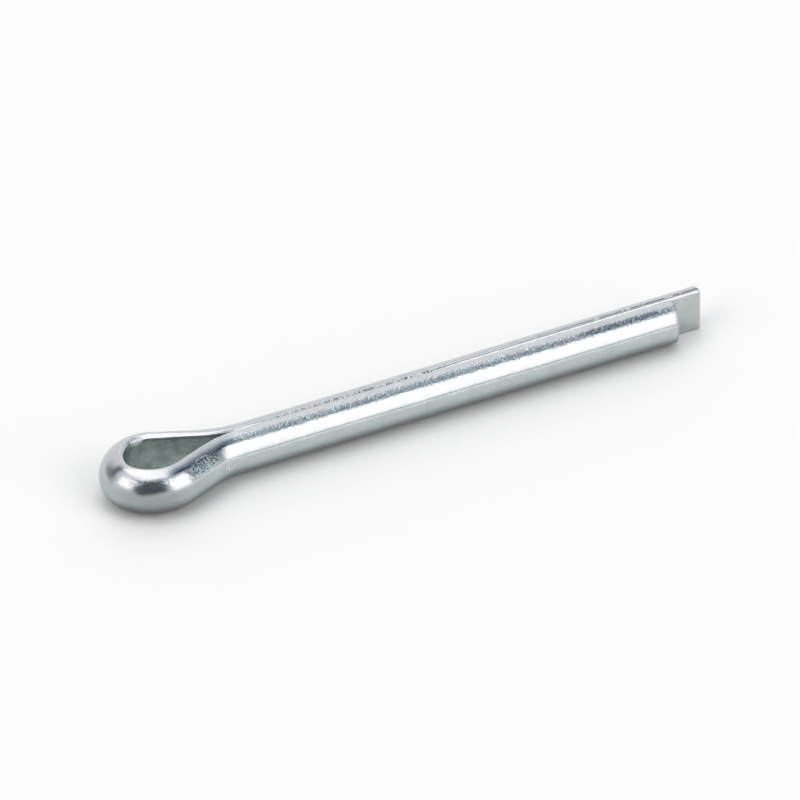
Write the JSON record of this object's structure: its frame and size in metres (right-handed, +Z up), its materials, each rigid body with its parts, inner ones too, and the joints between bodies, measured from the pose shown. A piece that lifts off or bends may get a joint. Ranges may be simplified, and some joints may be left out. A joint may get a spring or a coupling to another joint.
{
  "type": "cotter pin",
  "caption": "Split cotter pin folded from half-round steel wire, with a teardrop eye and legs of unequal length, for locking a nut or clevis pin through a cross hole.",
  "frame": {"origin": "on the shank's axis, at the throat where the eye has closed onto the legs", "axes": "+X along the shank towards the leg tips, +Y across the split towards the long leg, +Z up, square to the plane of the eye"},
  "size_m": [0.0781, 0.0118, 0.0058],
  "materials": {
    "zinc_plated_wire": "bright zinc plate over drawn steel wire, slightly pitted and grained"
  },
  "bodies": {
    "root": {"cotter_pin": "zinc_plated_wire"}
  },
  "joints": []
}
